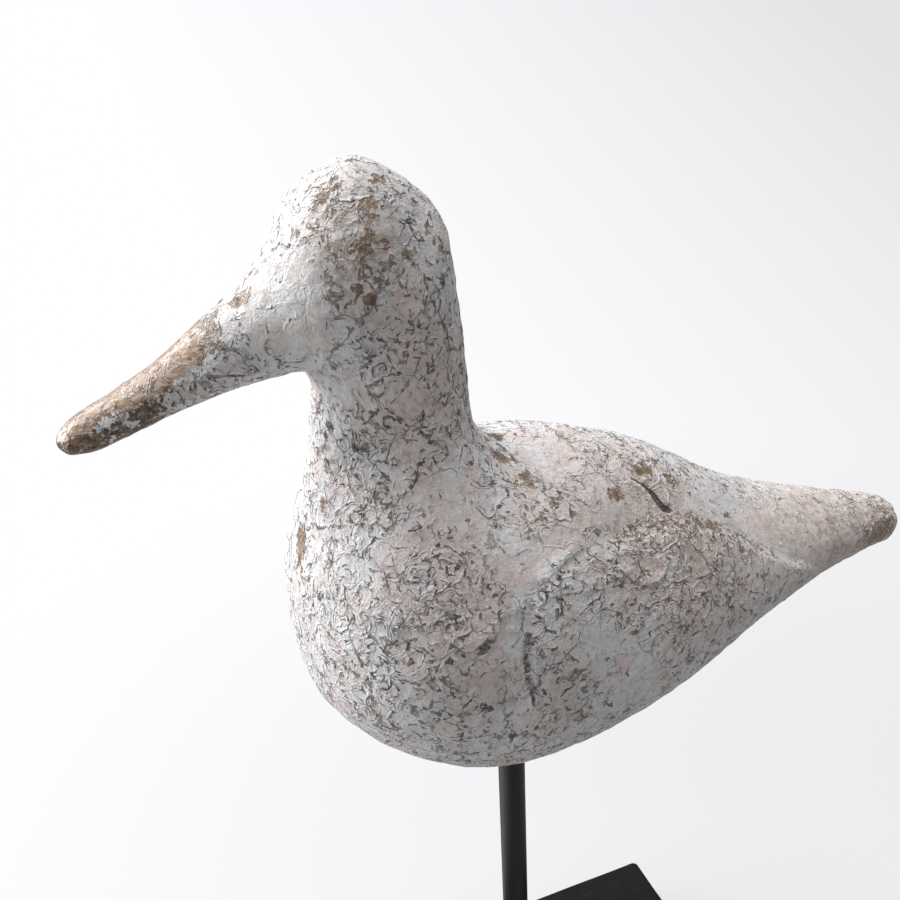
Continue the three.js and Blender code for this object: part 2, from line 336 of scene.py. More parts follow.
def through(rows, at):
    """A curve through rows of values: between two rows it is the cubic whose slope at each row is half the
    step between that row's neighbours."""
    ends = np.vstack([2 * rows[0] - rows[1], rows, 2 * rows[-1] - rows[-2]])
    i = np.clip(np.floor(at).astype(int), 0, len(rows) - 2)
    t = (at - i)[:, None]
    a, b, c, d = ends[i], ends[i + 1], ends[i + 2], ends[i + 3]
    return (2 * b + (c - a) * t + (2 * a - 5 * b + 4 * c - d) * t**2 + (3 * b - a - 3 * c + d) * t**3) / 2


def bird_skin():
    """Along the bird: ribs evenly spaced by the mean travel of the back's and the belly's line. Round each
    rib: an oval whose height runs between the two lines and whose width is widest a little below the
    middle. Both ends are drawn in by sqrt(1 - (1 - d/r)^2), where d is the distance to the end."""
    fine = np.linspace(0, len(RIBS) - 1, 6000)
    line = through(RIBS, fine)
    back_step = np.hypot(*np.diff(line[:, 0:2], axis=0).T)
    belly_step = np.hypot(*np.diff(line[:, 2:4], axis=0).T)
    travel = np.concatenate([[0], np.cumsum((back_step + belly_step) / 2)])
    swing = np.linspace(0.06, math.pi / 2, 12)[:-1]
    bill_end = BILL_END_ROUNDING * (1 - np.cos(swing))
    tail_end = travel[-1] - TAIL_END_ROUNDING * (1 - np.cos(swing[::-1]))
    middle = np.linspace(BILL_END_ROUNDING, travel[-1] - TAIL_END_ROUNDING, BIRD_RINGS - 2 * len(swing))
    want = np.concatenate([bill_end, middle, tail_end])
    rib = through(RIBS, np.interp(want, travel, fine))
    draw_in = np.sqrt(1 - np.clip(1 - want / BILL_END_ROUNDING, 0, 1) ** 2)
    draw_in = draw_in * np.sqrt(1 - np.clip(1 - (travel[-1] - want) / TAIL_END_ROUNDING, 0, 1) ** 2)
    back, belly = rib[:, 0:2], rib[:, 2:4]
    half_width, sag = rib[:, 4] * draw_in, rib[:, 5]
    turn = np.linspace(0, 2 * math.pi, BIRD_SIDES, endpoint=False)
    centre = (back + belly) / 2
    arm = (back - belly) / 2 * draw_in[:, None]
    xz = centre[:, None] + arm[:, None] * np.cos(turn)[None, :, None]
    y = half_width[:, None] * np.sin(turn) * (1 - sag[:, None] * np.cos(turn))
    return np.stack([xz[..., 0], y, xz[..., 1]], axis=2), turn


def outward(grid):
    """The unit vectors that point out of a grid's surface, from the cross product of its two directions."""
    along = np.gradient(grid, axis=0)
    around = np.roll(grid, -1, axis=1) - np.roll(grid, 1, axis=1)
    normal = np.cross(along, around)
    return normal / np.maximum(np.linalg.norm(normal, axis=2, keepdims=True), 1e-9)


def to_line(points, line):
    """Signed distance from points of a plane to a line through given points, positive on its left, and how
    far along it the nearest place is."""
    smooth = through(line, np.linspace(0, len(line) - 1, 240))
    step = np.diff(smooth, axis=0)
    length = np.hypot(step[:, 0], step[:, 1])
    before = np.concatenate([[0], np.cumsum(length)])
    best = np.full(len(points), 1e9)
    side = np.ones(len(points))
    where = np.zeros(len(points))
    for start, way, size, run in zip(smooth[:-1], step, length, before):
        offset = points - start
        t = np.clip(offset @ way / size**2, 0, 1)
        away = offset - t[:, None] * way
        distance = np.hypot(away[:, 0], away[:, 1])
        nearer = distance < best
        turned = way[0] * offset[:, 1] - way[1] * offset[:, 0]
        best = np.where(nearer, distance, best)
        side = np.where(nearer, np.where(turned >= 0, 1.0, -1.0), side)
        where = np.where(nearer, run + t * size, where)
    return best * side, where, before[-1]


grid, turn = bird_skin()
flat_grid = grid.reshape(-1, 3)

outside, along_wing, wing_length = to_line(flat_grid[:, [0, 2]], WING_OUTLINE)
outside = outside.reshape(grid.shape[:2])
along_wing = along_wing.reshape(grid.shape[:2])
wing_fade = ease(along_wing, 0, WING_FADE_AT_FOOT) * ease(wing_length - along_wing, 0, WING_FADE_AT_TAIL)
wing_fade = wing_fade * ease(np.abs(np.sin(turn)), 0.2, 0.5)[None]
corner_dip = 1 - 0.65 * ease(along_wing, 24, 34) * ease(along_wing, 62, 50)
groove = -WING_GROOVE_DEPTH * np.exp(-((np.maximum(outside, 0) / WING_GROOVE_REACH) ** 2))
edge = WING_EDGE_RAISE * np.exp(-((np.minimum(outside, 0) / WING_EDGE_REACH) ** 2))
over = ease(outside, -WING_EDGE_SLOPE, 0)
grid[..., 1] += np.sign(np.sin(turn))[None] * wing_fade * corner_dip * (edge * (1 - over) + groove * over)
carved_normal = outward(grid)
flat_grid = grid.reshape(-1, 3)

# The paint. Its dabs lie over one another in layers, so a coat number rises and falls over the bird, and a
# layer ends in a low step wherever that number passes a whole number.
PLATEAU_SIZE = 10.5
PATCH_SIZE = 5.0
STEP_HEIGHT = 0.36
STEP_WIDTH = 1.0


def steepness(values, grid):
    """How fast values change per millimetre over a grid's surface, from their change along its two
    directions and the lengths and angle of those directions."""
    along = np.gradient(grid, axis=0)
    around = (np.roll(grid, -1, axis=1) - np.roll(grid, 1, axis=1)) / 2
    value_along = np.gradient(values, axis=0)
    value_around = (np.roll(values, -1, axis=1) - np.roll(values, 1, axis=1)) / 2
    aa, rr, ar = (along**2).sum(2), (around**2).sum(2), (along * around).sum(2)
    top = value_along**2 * rr - 2 * value_along * value_around * ar + value_around**2 * aa
    return np.sqrt(np.maximum(top, 0) / np.maximum(aa * rr - ar**2, 1e-6))


def noise_on(grid, size, seed):
    """Lattice noise at a grid's points."""
    return lattice_noise(grid.reshape(-1, 3), size, seed).reshape(grid.shape[:2])


bend = np.stack([noise_on(grid, 5.0, seed) for seed in (31, 32, 33)], axis=2)
bent = grid + 1.5 * bend
coat = 6.5 + 2.1 * noise_on(bent, PLATEAU_SIZE, 34) + 1.5 * noise_on(bent, PATCH_SIZE, 35)
coat = coat + 0.5 * noise_on(bent, 2.6, 36)
slope = np.maximum(steepness(coat, grid), 0.02)
part = coat - np.floor(coat)
terrace = np.floor(coat) + np.clip((part - 1) / (slope * STEP_WIDTH) + 1, 0, 1)

# How busy the paint is, as x, y, z, size and strength: above 0 it is crowded with small curls, and below 0
# it is one smooth dab.
BUSY = [
    [-37, -18, 293, 7, 0.55],
    [-41, -12, 300, 6, 0.2],
    [-37, -20, 282, 6, 0.8],
    [-42, -19, 279, 5, 1.2],
    [-62, -10, 272, 5, 0.7],
    [-71, -8, 266, 4, 0.5],
    [-67, -9, 263, 5, 0.8],
    [-62, -6, 281, 4, -0.6],
    [-39, -18, 245, 7, 0.8],
    [-33, -20, 268, 8, 0.5],
    [-33, -37, 217, 7, 0.7],
    [-53, -20, 213, 8, 0.6],
    [-52, -26, 203, 8, 0.8],
    [-50, -29, 193, 7, 0.7],
    [-10, -44, 201, 4, 0.9],
    [24, -37, 204, 5, 0.6],
    [33, -32, 211, 6, 0.4],
    [38, -37, 197, 6, 0.5],
    [-51, -15, 283, 8, -0.9],
    [-51, -16, 279, 5, -0.8],
    [-56, -10, 281, 5, -0.7],
    [-44, -14, 262, 6, -0.6],
    [-24, -25, 236, 6, -0.9],
    [-13, -35, 221, 5, -0.9],
    [-17, -43, 206, 3.5, -1],
    [5, -42, 198, 5, -0.7],
    [16, -43, 183, 7, -0.8],
    [6, -9, 233, 5, -0.7],
    [11, -17, 230, 7, -0.6],
    [20, -24, 223, 6, -0.4],
    [47, -20, 214, 5, -0.7],
    [66, -22, 201, 10, -0.6],
    [94, -13, 193, 16, -0.75],
]


def blots(points, table):
    """The sum of several round blots, each strength * exp(-d^2 / 2 size^2)."""
    total = np.zeros(points.shape[:2])
    for x, y, z, size, strength in table:
        away = ((points - (x, y, z)) ** 2).sum(axis=2)
        total += strength * np.exp(-away / (2 * size**2))
    return total


busy = np.clip(blots(grid, BUSY), -1, 1)
strong = ease(noise_on(grid, 10, 37), -0.6, 0.3) * (1 - 0.7 * ease(-busy, 0.1, 0.7))

# The edges of single thick dabs that stand out, as lines over the near side. The paint is thicker on the
# left of a line, seen from outside as it runs. After each name: the dark line's width and strength, and the
# paint's rise.
DAB_EDGES = {
    "wing_front": (0.7, 1, 0.5, [
        [-13.4, -44.3, 185], [-14.7, -44.7, 192], [-15.2, -44.4, 198], [-14.8, -43.8, 203],
        [-13.8, -42.7, 207],
    ]),
    "wing_top": (0.5, 0.45, 0.35, [
        [-8, -40.1, 212.4], [-3.4, -39.6, 211.9], [1.3, -39.1, 210.9], [8, -38.2, 209.2],
        [14, -37, 208.5],
    ]),
    "thick_dab": (0.4, 0.3, 0.75, [
        [-11.4, -38, 217], [-8, -38.6, 215.3], [-5.5, -37.7, 216.2], [0, -35.5, 218], [6, -33.3, 218.8],
    ]),
    "shoulder_crack": (0.4, 0.7, 0.2, [
        [-1.7, -20, 230.4], [2.9, -21.9, 229.1], [6.2, -23.3, 227.9], [10.9, -26.1, 224.6],
    ]),
    "shoulder_chip": (0.4, 0.5, 0.35, [
        [-13.8, -34.2, 221.6], [-12.5, -34, 221.8], [-10.2, -33.4, 222.1], [-8.1, -33.4, 221.8],
    ]),
    "back_plate": (0.4, 0.6, 0.4, [
        [6, -18.9, 230.1], [11.6, -18.7, 229.3], [14.4, -17.1, 229.3], [16, -14.5, 230],
        [20, -15.2, 228.4],
    ]),
    "flap": (0.35, 0.5, 0.3, [
        [-10.1, -29.8, 225.7], [-9, -29, 226.1], [-6.4, -28.5, 226.2], [-5, -29.2, 225.4],
    ]),
    "drip": (0.5, 0.7, 0.5, [
        [-17.6, -42.2, 208.8], [-16.5, -42.8, 207], [-15, -42.5, 207.7], [-14, -41.4, 210.7],
        [-13.2, -40, 213.6],
    ]),
    "breast_ridge": (0.55, 0.7, 0.5, [
        [-33, -40.2, 209.3], [-30, -41.1, 206.6], [-27.8, -41.7, 205.4], [-20.3, -41.6, 208.2],
    ]),
    "diagonal": (0.4, 0.7, 0.4, [
        [-42, -31.5, 218.5], [-42.6, -28.5, 222.9], [-44.7, -24.4, 225.8], [-45.6, -21.5, 228.8],
    ]),
    "long_ring": (0.3, 0.7, 0.35, [
        [-41.8, -36, 209], [-40.5, -35, 213], [-41.5, -33.8, 216], [-43.5, -33.4, 212],
        [-43.8, -34.7, 208],
    ]),
    "small_ring": (0.35, 0.8, 0.3, [
        [-34.3, -39, 210.7], [-32.7, -39, 212], [-34, -38, 213.8], [-35.4, -38.3, 212],
        [-34.6, -39, 210.8],
    ]),
    "breast_curve": (0.35, 0.7, 0.3, [
        [-46, -30.5, 213.6], [-49.6, -26, 214], [-50.5, -23.9, 214.9], [-50.1, -22, 218.8],
    ]),
    "bill_root": (0.8, 1, 0.35, [
        [-71.5, -7.9, 268], [-67.8, -8.4, 267.5], [-64.9, -8.6, 267.3], [-62, -8.4, 266.6],
        [-59, -9.2, 267.2],
    ]),
    "wing_dab": (0.7, 0.7, 0.45, [
        [13.5, -35, 212], [15.7, -36.4, 209.1], [20, -37.1, 206], [25.2, -36.5, 205.8],
        [27.6, -35.4, 207],
    ]),
}
# The gash in the back, from its shallow end to the deep one.
GASH = [
    [27.6, -17.2, 224.5], [29.9, -18.0, 223.3], [32.2, -20.0, 221.4],
    [33.3, -22.4, 219.3], [34.4, -23.9, 217.8], [36.4, -24.2, 216.8],
]
GASH_DEPTH = 1.5
GASH_WIDTH = 0.9
GASH_LIP_AWAY = 1.9
GASH_LIP_RISE = 0.25


def from_line(points, normal, line):
    """Distance from points to a line on the surface, negative on its right seen from outside, and how far
    along it the nearest place is."""
    smooth = through(np.array(line, float), np.linspace(0, len(line) - 1, 10 * len(line)))
    step = np.diff(smooth, axis=0)
    length = np.linalg.norm(step, axis=1)
    before = np.cumsum(length) - length
    nearest = np.full(len(points), 1e9)
    side = np.ones(len(points))
    where = np.zeros(len(points))
    for start, way, size, run in zip(smooth[:-1], step, length, before):
        offset = points - start
        t = (offset @ way) / size**2
        away = offset - np.clip(t, 0, 1)[:, None] * way
        away = away - (away * normal).sum(axis=1)[:, None] * normal
        distance = np.linalg.norm(away, axis=1)
        nearer = distance < nearest
        left = (np.cross(normal, way) * offset).sum(axis=1)
        nearest = np.where(nearer, distance, nearest)
        side = np.where(nearer, np.sign(left), side)
        where = np.where(nearer, run + t * size, where)
    return nearest * side, where, length.sum()


flat_grid = grid.reshape(-1, 3)
flat_normal = carved_normal.reshape(-1, 3)
LINE_REACH = 35.0
line_side = np.full(len(flat_grid), 5.0)
line_ink = np.zeros(len(flat_grid))
line_width = np.full(len(flat_grid), 0.5)
line_rise = np.zeros(len(flat_grid))
nearest_line = np.full(len(flat_grid), 1e9)
for width, strength, rise, line in DAB_EDGES.values():
    near = np.linalg.norm(flat_grid - np.mean(line, axis=0), axis=1) < LINE_REACH
    near_places = np.nonzero(near)[0]
    side, where, length = from_line(flat_grid[near], flat_normal[near], line)
    ink = strength * ease(where, -0.5, 2.0) * ease(length - where, -0.5, 2.0) * ease(np.abs(side), 3.2, 2.0)
    closer = np.abs(side) < nearest_line[near_places]
    chosen = near_places[closer]
    nearest_line[chosen] = np.abs(side[closer])
    line_side[chosen] = side[closer]
    line_ink[chosen] = ink[closer]
    line_width[chosen] = width
    swell = np.where(side > 0, 1 - ease(side, 0.4, 4.0), 0) * ease(side, -0.5, 0.5)
    fade = ease(where, -1.0, 2.0) * ease(length - where, -1.0, 2.0)
    line_rise[near_places] = np.maximum(line_rise[near_places], rise * swell * fade)
by_point = (line_side, line_ink, line_width, line_rise)
line_side, line_ink, line_width, line_rise = (values.reshape(coat.shape) for values in by_point)

gash_side, gash_along, gash_length = from_line(flat_grid, flat_normal, GASH)
gash_open = 0.3 * ease(gash_along, -0.5, 0.5) + 0.65 * ease(gash_along, 1.2, 0.7 * gash_length)
gash_open = gash_open * ease(gash_length - gash_along, -0.9, 0.9)
gash_side = np.clip(gash_side, -6, 6).reshape(coat.shape)
gash_open = np.where(np.abs(gash_side) < 4, gash_open.reshape(coat.shape), 0)
gash_lip = GASH_LIP_RISE * np.exp(-(((np.abs(gash_side) - GASH_LIP_AWAY) / 0.8) ** 2))
gash_dip = gash_open * (gash_lip - GASH_DEPTH * np.exp(-((gash_side / GASH_WIDTH) ** 2)))

in_groove = wing_fade * ease(outside, -0.6, 0.4) * ease(outside, 8.0, 5.0)
on_bill = ease(-grid[..., 0], 62, 72)
bumps = 0.24 * noise_on(grid, 8, 38) + 0.16 * noise_on(grid, 3.6, 39)
bumps = bumps + 0.10 * noise_on(grid, 2.3, 40)
layers = STEP_HEIGHT * (terrace - coat) * strong * (1 - 0.6 * on_bill)
relief = (layers + bumps) * (1 - 0.4 * in_groove) * (1 - 0.35 * on_bill) + line_rise + gash_dip
grid = grid + carved_normal * relief[..., None]

# Where the whitewash is rubbed through to the brown, as x, y, z, size and strength.
RUBBED = [
    [-37, -17.6, 293, 2.5, 0.75],
    [-34, -14.5, 300, 2.4, 0.75],
    [-40, -9, 303, 2.2, 0.62],
    [-30, -9, 304, 2, 0.7],
    [-44, -9.5, 301, 1.6, 0.5],
    [-38, -20, 282, 1.4, 0.75],
    [-28, -18, 290, 1.3, 0.65],
    [-35, -20, 286, 1.5, 0.65],
    [-53, -8.5, 288.5, 0.9, 0.6],
    [-48, -13, 294, 0.9, 0.6],
    [-61, -4.5, 282, 2.2, 0.8],
    [-1.5, 1, 235, 2.4, 0.8],
    [-5.5, -11.5, 235, 1.8, 0.85],
    [-2, -18, 231, 1.8, 0.75],
    [-2.5, -27.5, 226.5, 1.4, 0.7],
    [2.5, -25, 227.5, 1.8, 0.65],
    [20, -22.5, 224, 2.2, 0.75],
    [10.6, -30.6, 220.1, 1.2, 0.95],
    [56, -20, 208.5, 1.8, 0.65],
    [31, -14, 224.5, 2, 0.75],
    [35, -13.5, 223.5, 1.8, 0.6],
    [40.5, -16, 220, 2.2, 0.75],
    [-55, -2, 220, 3.2, 0.85],
    [-51, -4, 231, 1.5, 0.7],
    [-50, -9, 232, 1.5, 0.65],
    [-51, -16.5, 221.5, 1.5, 0.65],
    [-56, -3, 215, 1.8, 0.65],
    [124, -9, 183, 5, 0.5],
    [118, -11.5, 178.5, 4, 0.5],
]
# Where the white is stained tan, and below that where it is pinkish, in the same way.
TANNED = [
    [-38.5, -18, 292, 6.5, 1.5],
    [-39, 16, 294, 6, 0.6],
    [-38, -11, 302, 6, 0.3],
    [24, -33, 212, 10, 0.6],
    [36, -28, 212, 10, 0.6],
    [50, -27, 205, 9, 0.4],
    [34, -15, 223, 6, 0.6],
    [120, -12, 180, 14, 1.0],
    [95, -12, 192, 12, 0.9],
    [75, -16, 200, 10, 0.6],
]
PINK = [
    [-31, -20, 254, 9, 0.8],
    [-20, -17, 258, 7, 0.7],
    [-28, -20, 273, 7, 0.8],
    [-28, -33, 225, 9, 0.8],
    [-23, -38, 218, 7, 0.8],
    [-29, -42, 206, 6, 0.8],
    [-29, -43, 193, 7, 0.6],
    [32, -33, 208, 12, 0.7],
    [36, -38, 197, 8, 0.5],
    [53, -34, 190, 9, 0.5],
    [78, -24, 190, 10, 0.3],
    [20, -15, 229, 12, 0.9],
    [0, -21, 230, 6, 0.6],
    [-4, -44, 184, 6, 0.9],
    [5, -28, 225, 7, 0.6],
    [111, -12, 186, 12, 0.7],
]
# The bill's brown shows along the top edge and toward the tip, with two patches and a white island.
BILL_PATCHES = [
    [-85.5, -5.5, 263, 1.8, 0.4],
    [-79.5, -5.7, 266.5, 1.6, 0.4],
    [-99, -4, 255, 3, 0.3],
    [-95, -4.5, 260, 1.4, -0.35],
    [-92.5, -5, 261, 1.4, -0.35],
    [-89.5, -5.3, 262, 1.4, -0.35],
    [-75, -7, 265, 3, -0.3],
]
BILL_SLOPE = math.radians(-27)
# On the back of the neck the marks run lengthwise.
NECK_STREAKS = [
    [-15, -13, 250, 7, 0.6],
    [-16, -13, 262, 7, 0.6],
    [-18, -13, 275, 7, 0.6],
    [-45, -14, 248, 6, 0.6],
]

upper = np.cos(turn)[None]
to_tip = (-62 - grid[..., 0]) / 41
bill_top = ease(upper, 0.15, 0.55) * ease(to_tip, 0.0, 0.3)
bill_side = ease(upper, 0.5, 0.1) * ease(to_tip, 0.28, 0.5)
bill_wear = bill_top + 0.62 * bill_side + 0.3 * ease(to_tip, 0.9, 0.97)
bill_wear = bill_wear + blots(grid, BILL_PATCHES)
bare = np.maximum(blots(grid, RUBBED), bill_wear)
tanned = blots(grid, TANNED)
pink = blots(grid, PINK)
crest_zone = ease(outside, -5.5, -2) * ease(outside, 1.5, 0) * wing_fade
crest_zone = crest_zone * ease(along_wing, 54, 66) * ease(along_wing, 124, 100)

bird = shell("carved_bird", grid)


def carry(piece, name, values):
    """Stores one number per point of a shell, with the mean of the end rows for its two closing points."""
    rows = values.reshape(len(values), -1)
    all_points = np.concatenate([rows.ravel(), [rows[0].mean(), rows[-1].mean()]])
    attribute = piece.data.attributes.new(name, "FLOAT", "POINT")
    attribute.data.foreach_set("value", all_points.astype(np.float32))


carry(bird, "coat", coat)
carry(bird, "slope", slope)
carry(bird, "bare", bare)
carry(bird, "tanned", tanned)
carry(bird, "pink", pink)
carry(bird, "busy", busy)
carry(bird, "streaked", bill_top - bill_side)
carry(bird, "groove", in_groove)
carry(bird, "wing", np.clip(outside, -20, 20))
carry(bird, "crest", crest_zone)
carry(bird, "upright", np.maximum(crest_zone, blots(grid, NECK_STREAKS)))
carry(bird, "line_side", line_side)
carry(bird, "line_ink", line_ink)
carry(bird, "line_width", line_width)
carry(bird, "gash_side", gash_side)
carry(bird, "gash_open", gash_open)

# The whites of the wash, one a painted highlight and one grime that also paints shade, the dark wash in its
# cracks, also painted shadow, the brown under it, and the paint's measures.
WHITE_COOL = (0.68, 0.688, 0.69, 1.0)
WHITE_PINK = (0.64, 0.56, 0.535, 1.0)
WHITE_PAINTED_HIGHLIGHT = (0.84, 0.84, 0.84, 1.0)
WHITE_DIRT_AND_SHADE = (0.38, 0.31, 0.255, 1.0)
WHITE_TANNED = (0.46, 0.37, 0.32, 1.0)
DARK_WASH_AND_SHADOW = (0.05, 0.036, 0.028, 1.0)
WASH_BROWN = (0.17, 0.11, 0.07, 1.0)
BROWN_COAT = (0.36, 0.245, 0.163, 1.0)
BROWN_DEEP = (0.12, 0.08, 0.05, 1.0)
PAINT_ROUGHNESS = 0.62
BARE_ROUGHNESS = 0.26
FLAKE_SIZE = 8.0
SMALL_FLAKE_SIZE = 4.2
CURL_SIZE = 4.2
UPRIGHT_CURL_SIZE = 2.9
PITS_PER_MM = 0.45


def stored(tree, name):
    """One of the numbers that the bird's points carry."""
    return put(tree, "ShaderNodeAttribute", attribute_name=name).outputs["Fac"]


def times(tree, *values):
    """The product of several values."""
    result = values[0]
    for value in values[1:]:
        result = maths(tree, "MULTIPLY", result, value)
    return result


def highest(tree, *values):
    """The highest of several values."""
    result = values[0]
    for value in values[1:]:
        result = maths(tree, "MAXIMUM", result, value)
    return result


def weighed(tree, start, *pairs):
    """A starting value, plus each value times its weight."""
    result = start
    for value, weight in pairs:
        result = maths(tree, "MULTIPLY_ADD", value, weight, result)
    return result


def shifted(tree, place, by):
    """The place moved by this many millimetres along x, y and z."""
    return put(tree, "ShaderNodeVectorMath", {0: place, 1: by}).outputs[0]


def close_to(tree, distance, width):
    """1 on an edge, falling evenly to 0 at this distance from it."""
    return maths(tree, "SUBTRACT", 1.0, maths(tree, "DIVIDE", distance, width), clamp=True)


def blobs(tree, near, speck, gate):
    """Dark wash, which is also painted shadow, where a place is near an edge, from 0 to 1, with a ragged
    outline from fine noise.
    """
    return between(tree, times(tree, gate, weighed(tree, near, (speck, 1.1))), 0.34, 0.62)


def step_marks(tree, speck, ragged, gate, swell):
    """The edges of the layers, where the coat's number passes a whole number. Gives masks of the dark foot
    below the edge, which is wash and painted shadow, the pale rim above it, which is relief and painted
    highlight, and the grime beside it, which is also painted shade."""
    slope = stored(tree, "slope")
    level = maths(tree, "MULTIPLY_ADD", times(tree, ragged, 2.6), slope, stored(tree, "coat"))
    part = maths(tree, "FRACT", level)
    above = maths(tree, "DIVIDE", part, slope)
    below = maths(tree, "DIVIDE", maths(tree, "SUBTRACT", 1.0, part), slope)
    near = close_to(tree, below, weighed(tree, 0.08, (swell, 0.9)))
    foot = blobs(tree, near, speck, gate)
    rim = times(tree, between(tree, above, 0.65, 0.1), weighed(tree, 0.25, (gate, 0.75)))
    # Grime, and painted shade, in the band up to 2.6 mm below each step.
    dirt_and_shade = times(tree, between(tree, below, 2.6, 0.3), gate)
    return foot, rim, dirt_and_shade


def curl_marks(tree, place, speck, gate, swell, stretch, size):
    """Small curls of thick paint, where noise passes its middle value: masks of the dark foot, which is
    wash and painted shadow, and the lip, which is relief and painted highlight."""
    inputs = {"Vector": shifted(tree, place, (3.1, 7.7, 1.9)), "Scale": stretch}
    curl = cloud(tree, put(tree, "ShaderNodeMapping", inputs).outputs[0], size, 1.5, 0.5, 0.8)
    off = maths(tree, "ABSOLUTE", maths(tree, "SUBTRACT", curl, 0.49))
    near = close_to(tree, off, weighed(tree, 0.01, (swell, 0.08)))
    foot = blobs(tree, near, speck, gate)
    lip = times(tree, between(tree, curl, 0.495, 0.54), between(tree, curl, 0.62, 0.55), gate)
    return foot, lip


def bent_place(tree, place, size, amount):
    """The place moved about by smooth noise of this size, by up to about half this many millimetres."""
    waves = {"Vector": place, "Scale": 1.0 / size, "Detail": 1.0}
    noise = put(tree, "ShaderNodeTexNoise", waves).outputs["Color"]
    inputs = {0: noise, 1: (amount, amount, amount), 2: place}
    return put(tree, "ShaderNodeVectorMath", inputs, operation="MULTIPLY_ADD").outputs[0]


def flakes(tree, place, size, speck, gate, swell):
    """Flakes of thick paint that meet at cracks: a cell pattern with bent edges. Gives the dark wash in the
    cracks, which is also painted shadow, the lip along a raised flake's edge, which is also painted
    highlight, which flakes are raised, and each flake's own number."""
    inputs = {"Vector": place, "Scale": 1.0 / size, "Randomness": 1.0}
    cells = put(tree, "ShaderNodeTexVoronoi", inputs)
    own = put(tree, "ShaderNodeSeparateColor", {0: cells.outputs["Color"]})
    edge = put(tree, "ShaderNodeTexVoronoi", inputs, feature="DISTANCE_TO_EDGE").outputs["Distance"]
    away = maths(tree, "MULTIPLY", edge, size)
    near = close_to(tree, away, weighed(tree, 0.08, (swell, 0.55)))
    raised = between(tree, own.outputs[0], 0.45, 0.55)
    lip = times(tree, between(tree, away, 0.05, 0.3), between(tree, away, 0.75, 0.4), raised)
    return blobs(tree, near, speck, gate), lip, raised, own.outputs[1]


def pits(tree, place, crowded):
    """Round pinholes in about a quarter of the cells of a cell pattern."""
    inputs = {"Vector": place, "Scale": PITS_PER_MM, "Randomness": 1.0}
    cells = put(tree, "ShaderNodeTexVoronoi", inputs)
    own = put(tree, "ShaderNodeSeparateColor", {0: cells.outputs["Color"]}).outputs[0]
    hole = between(tree, cells.outputs["Distance"], 0.2, 0.1)
    return times(tree, hole, between(tree, own, 0.7, 0.75), weighed(tree, 0.4, (crowded, 0.6)))


def dab_marks(tree, ragged, speck, swell):
    """The edges of the single thick dabs: masks of the dark foot on the right, wash and painted shadow, and
    the rim on the left, relief and painted highlight.
    """
    width = stored(tree, "line_width")
    across = maths(tree, "DIVIDE", weighed(tree, stored(tree, "line_side"), (ragged, 1.3)), width)
    near = times(tree, between(tree, across, -1.5, -0.4), between(tree, across, 0.25, -0.1))
    ink = stored(tree, "line_ink")
    foot = blobs(tree, times(tree, near, ink), speck, weighed(tree, 0.45, (swell, 0.55)))
    rim = times(tree, between(tree, across, 0.0, 0.3), between(tree, across, 1.8, 0.6))
    rim = times(tree, rim, between(tree, ink, 0.0, 0.3))
    return foot, rim


def crest_marks(tree, ragged, speck, swell):
    """The jagged dark line along the top of the folded wing."""
    across = weighed(tree, stored(tree, "wing"), (ragged, 6.0))
    near = times(tree, between(tree, across, -1.3, -0.5), between(tree, across, 0.2, -0.2))
    near = times(tree, near, between(tree, stored(tree, "crest"), 0.02, 0.25))
    return blobs(tree, near, speck, weighed(tree, 0.4, (swell, 0.6)))


def bared_brown(tree, place, grit, coarse):
    """Where the brown coat shows, and its colour: golden where it is thin and dark where it is thick, and
    on the bill also painted lighter on top and darker below, as painted light and shade. On the bill it is
    streaked lengthwise with what is left of the white."""
    streaked = stored(tree, "streaked")
    stipple = maths(tree, "SUBTRACT", cloud(tree, place, 0.9, 2), 0.5)
    worn = weighed(tree, -1.1, (stored(tree, "bare"), 1.0), (coarse, 0.9), (grit, 1.3))
    worn = weighed(tree, worn, (times(tree, stipple, between(tree, streaked, -0.1, -0.6)), 2.0))
    bared = between(tree, worn, 0.40, 0.62)
    # Besides its thin and thick places, the brown is painted lighter along the bill's top and darker on its
    # sides and underside, as painted light and shade.
    thick = weighed(tree, cloud(tree, place, 1.8, 3, 0.6), (streaked, -0.08))
    brown = mixed(tree, between(tree, thick, 0.4, 0.66), BROWN_COAT, BROWN_DEEP)
    lengthwise = {"Vector": place, "Rotation": (0, BILL_SLOPE, 0), "Scale": (0.16, 1, 1)}
    streaks = cloud(tree, put(tree, "ShaderNodeMapping", lengthwise).outputs[0], 0.9, 2, 0.5)
    film = times(tree, between(tree, streaks, 0.46, 0.60), between(tree, streaked, 0.1, 0.6))
    return bared, mixed(tree, times(tree, film, 0.35), brown, WHITE_COOL)


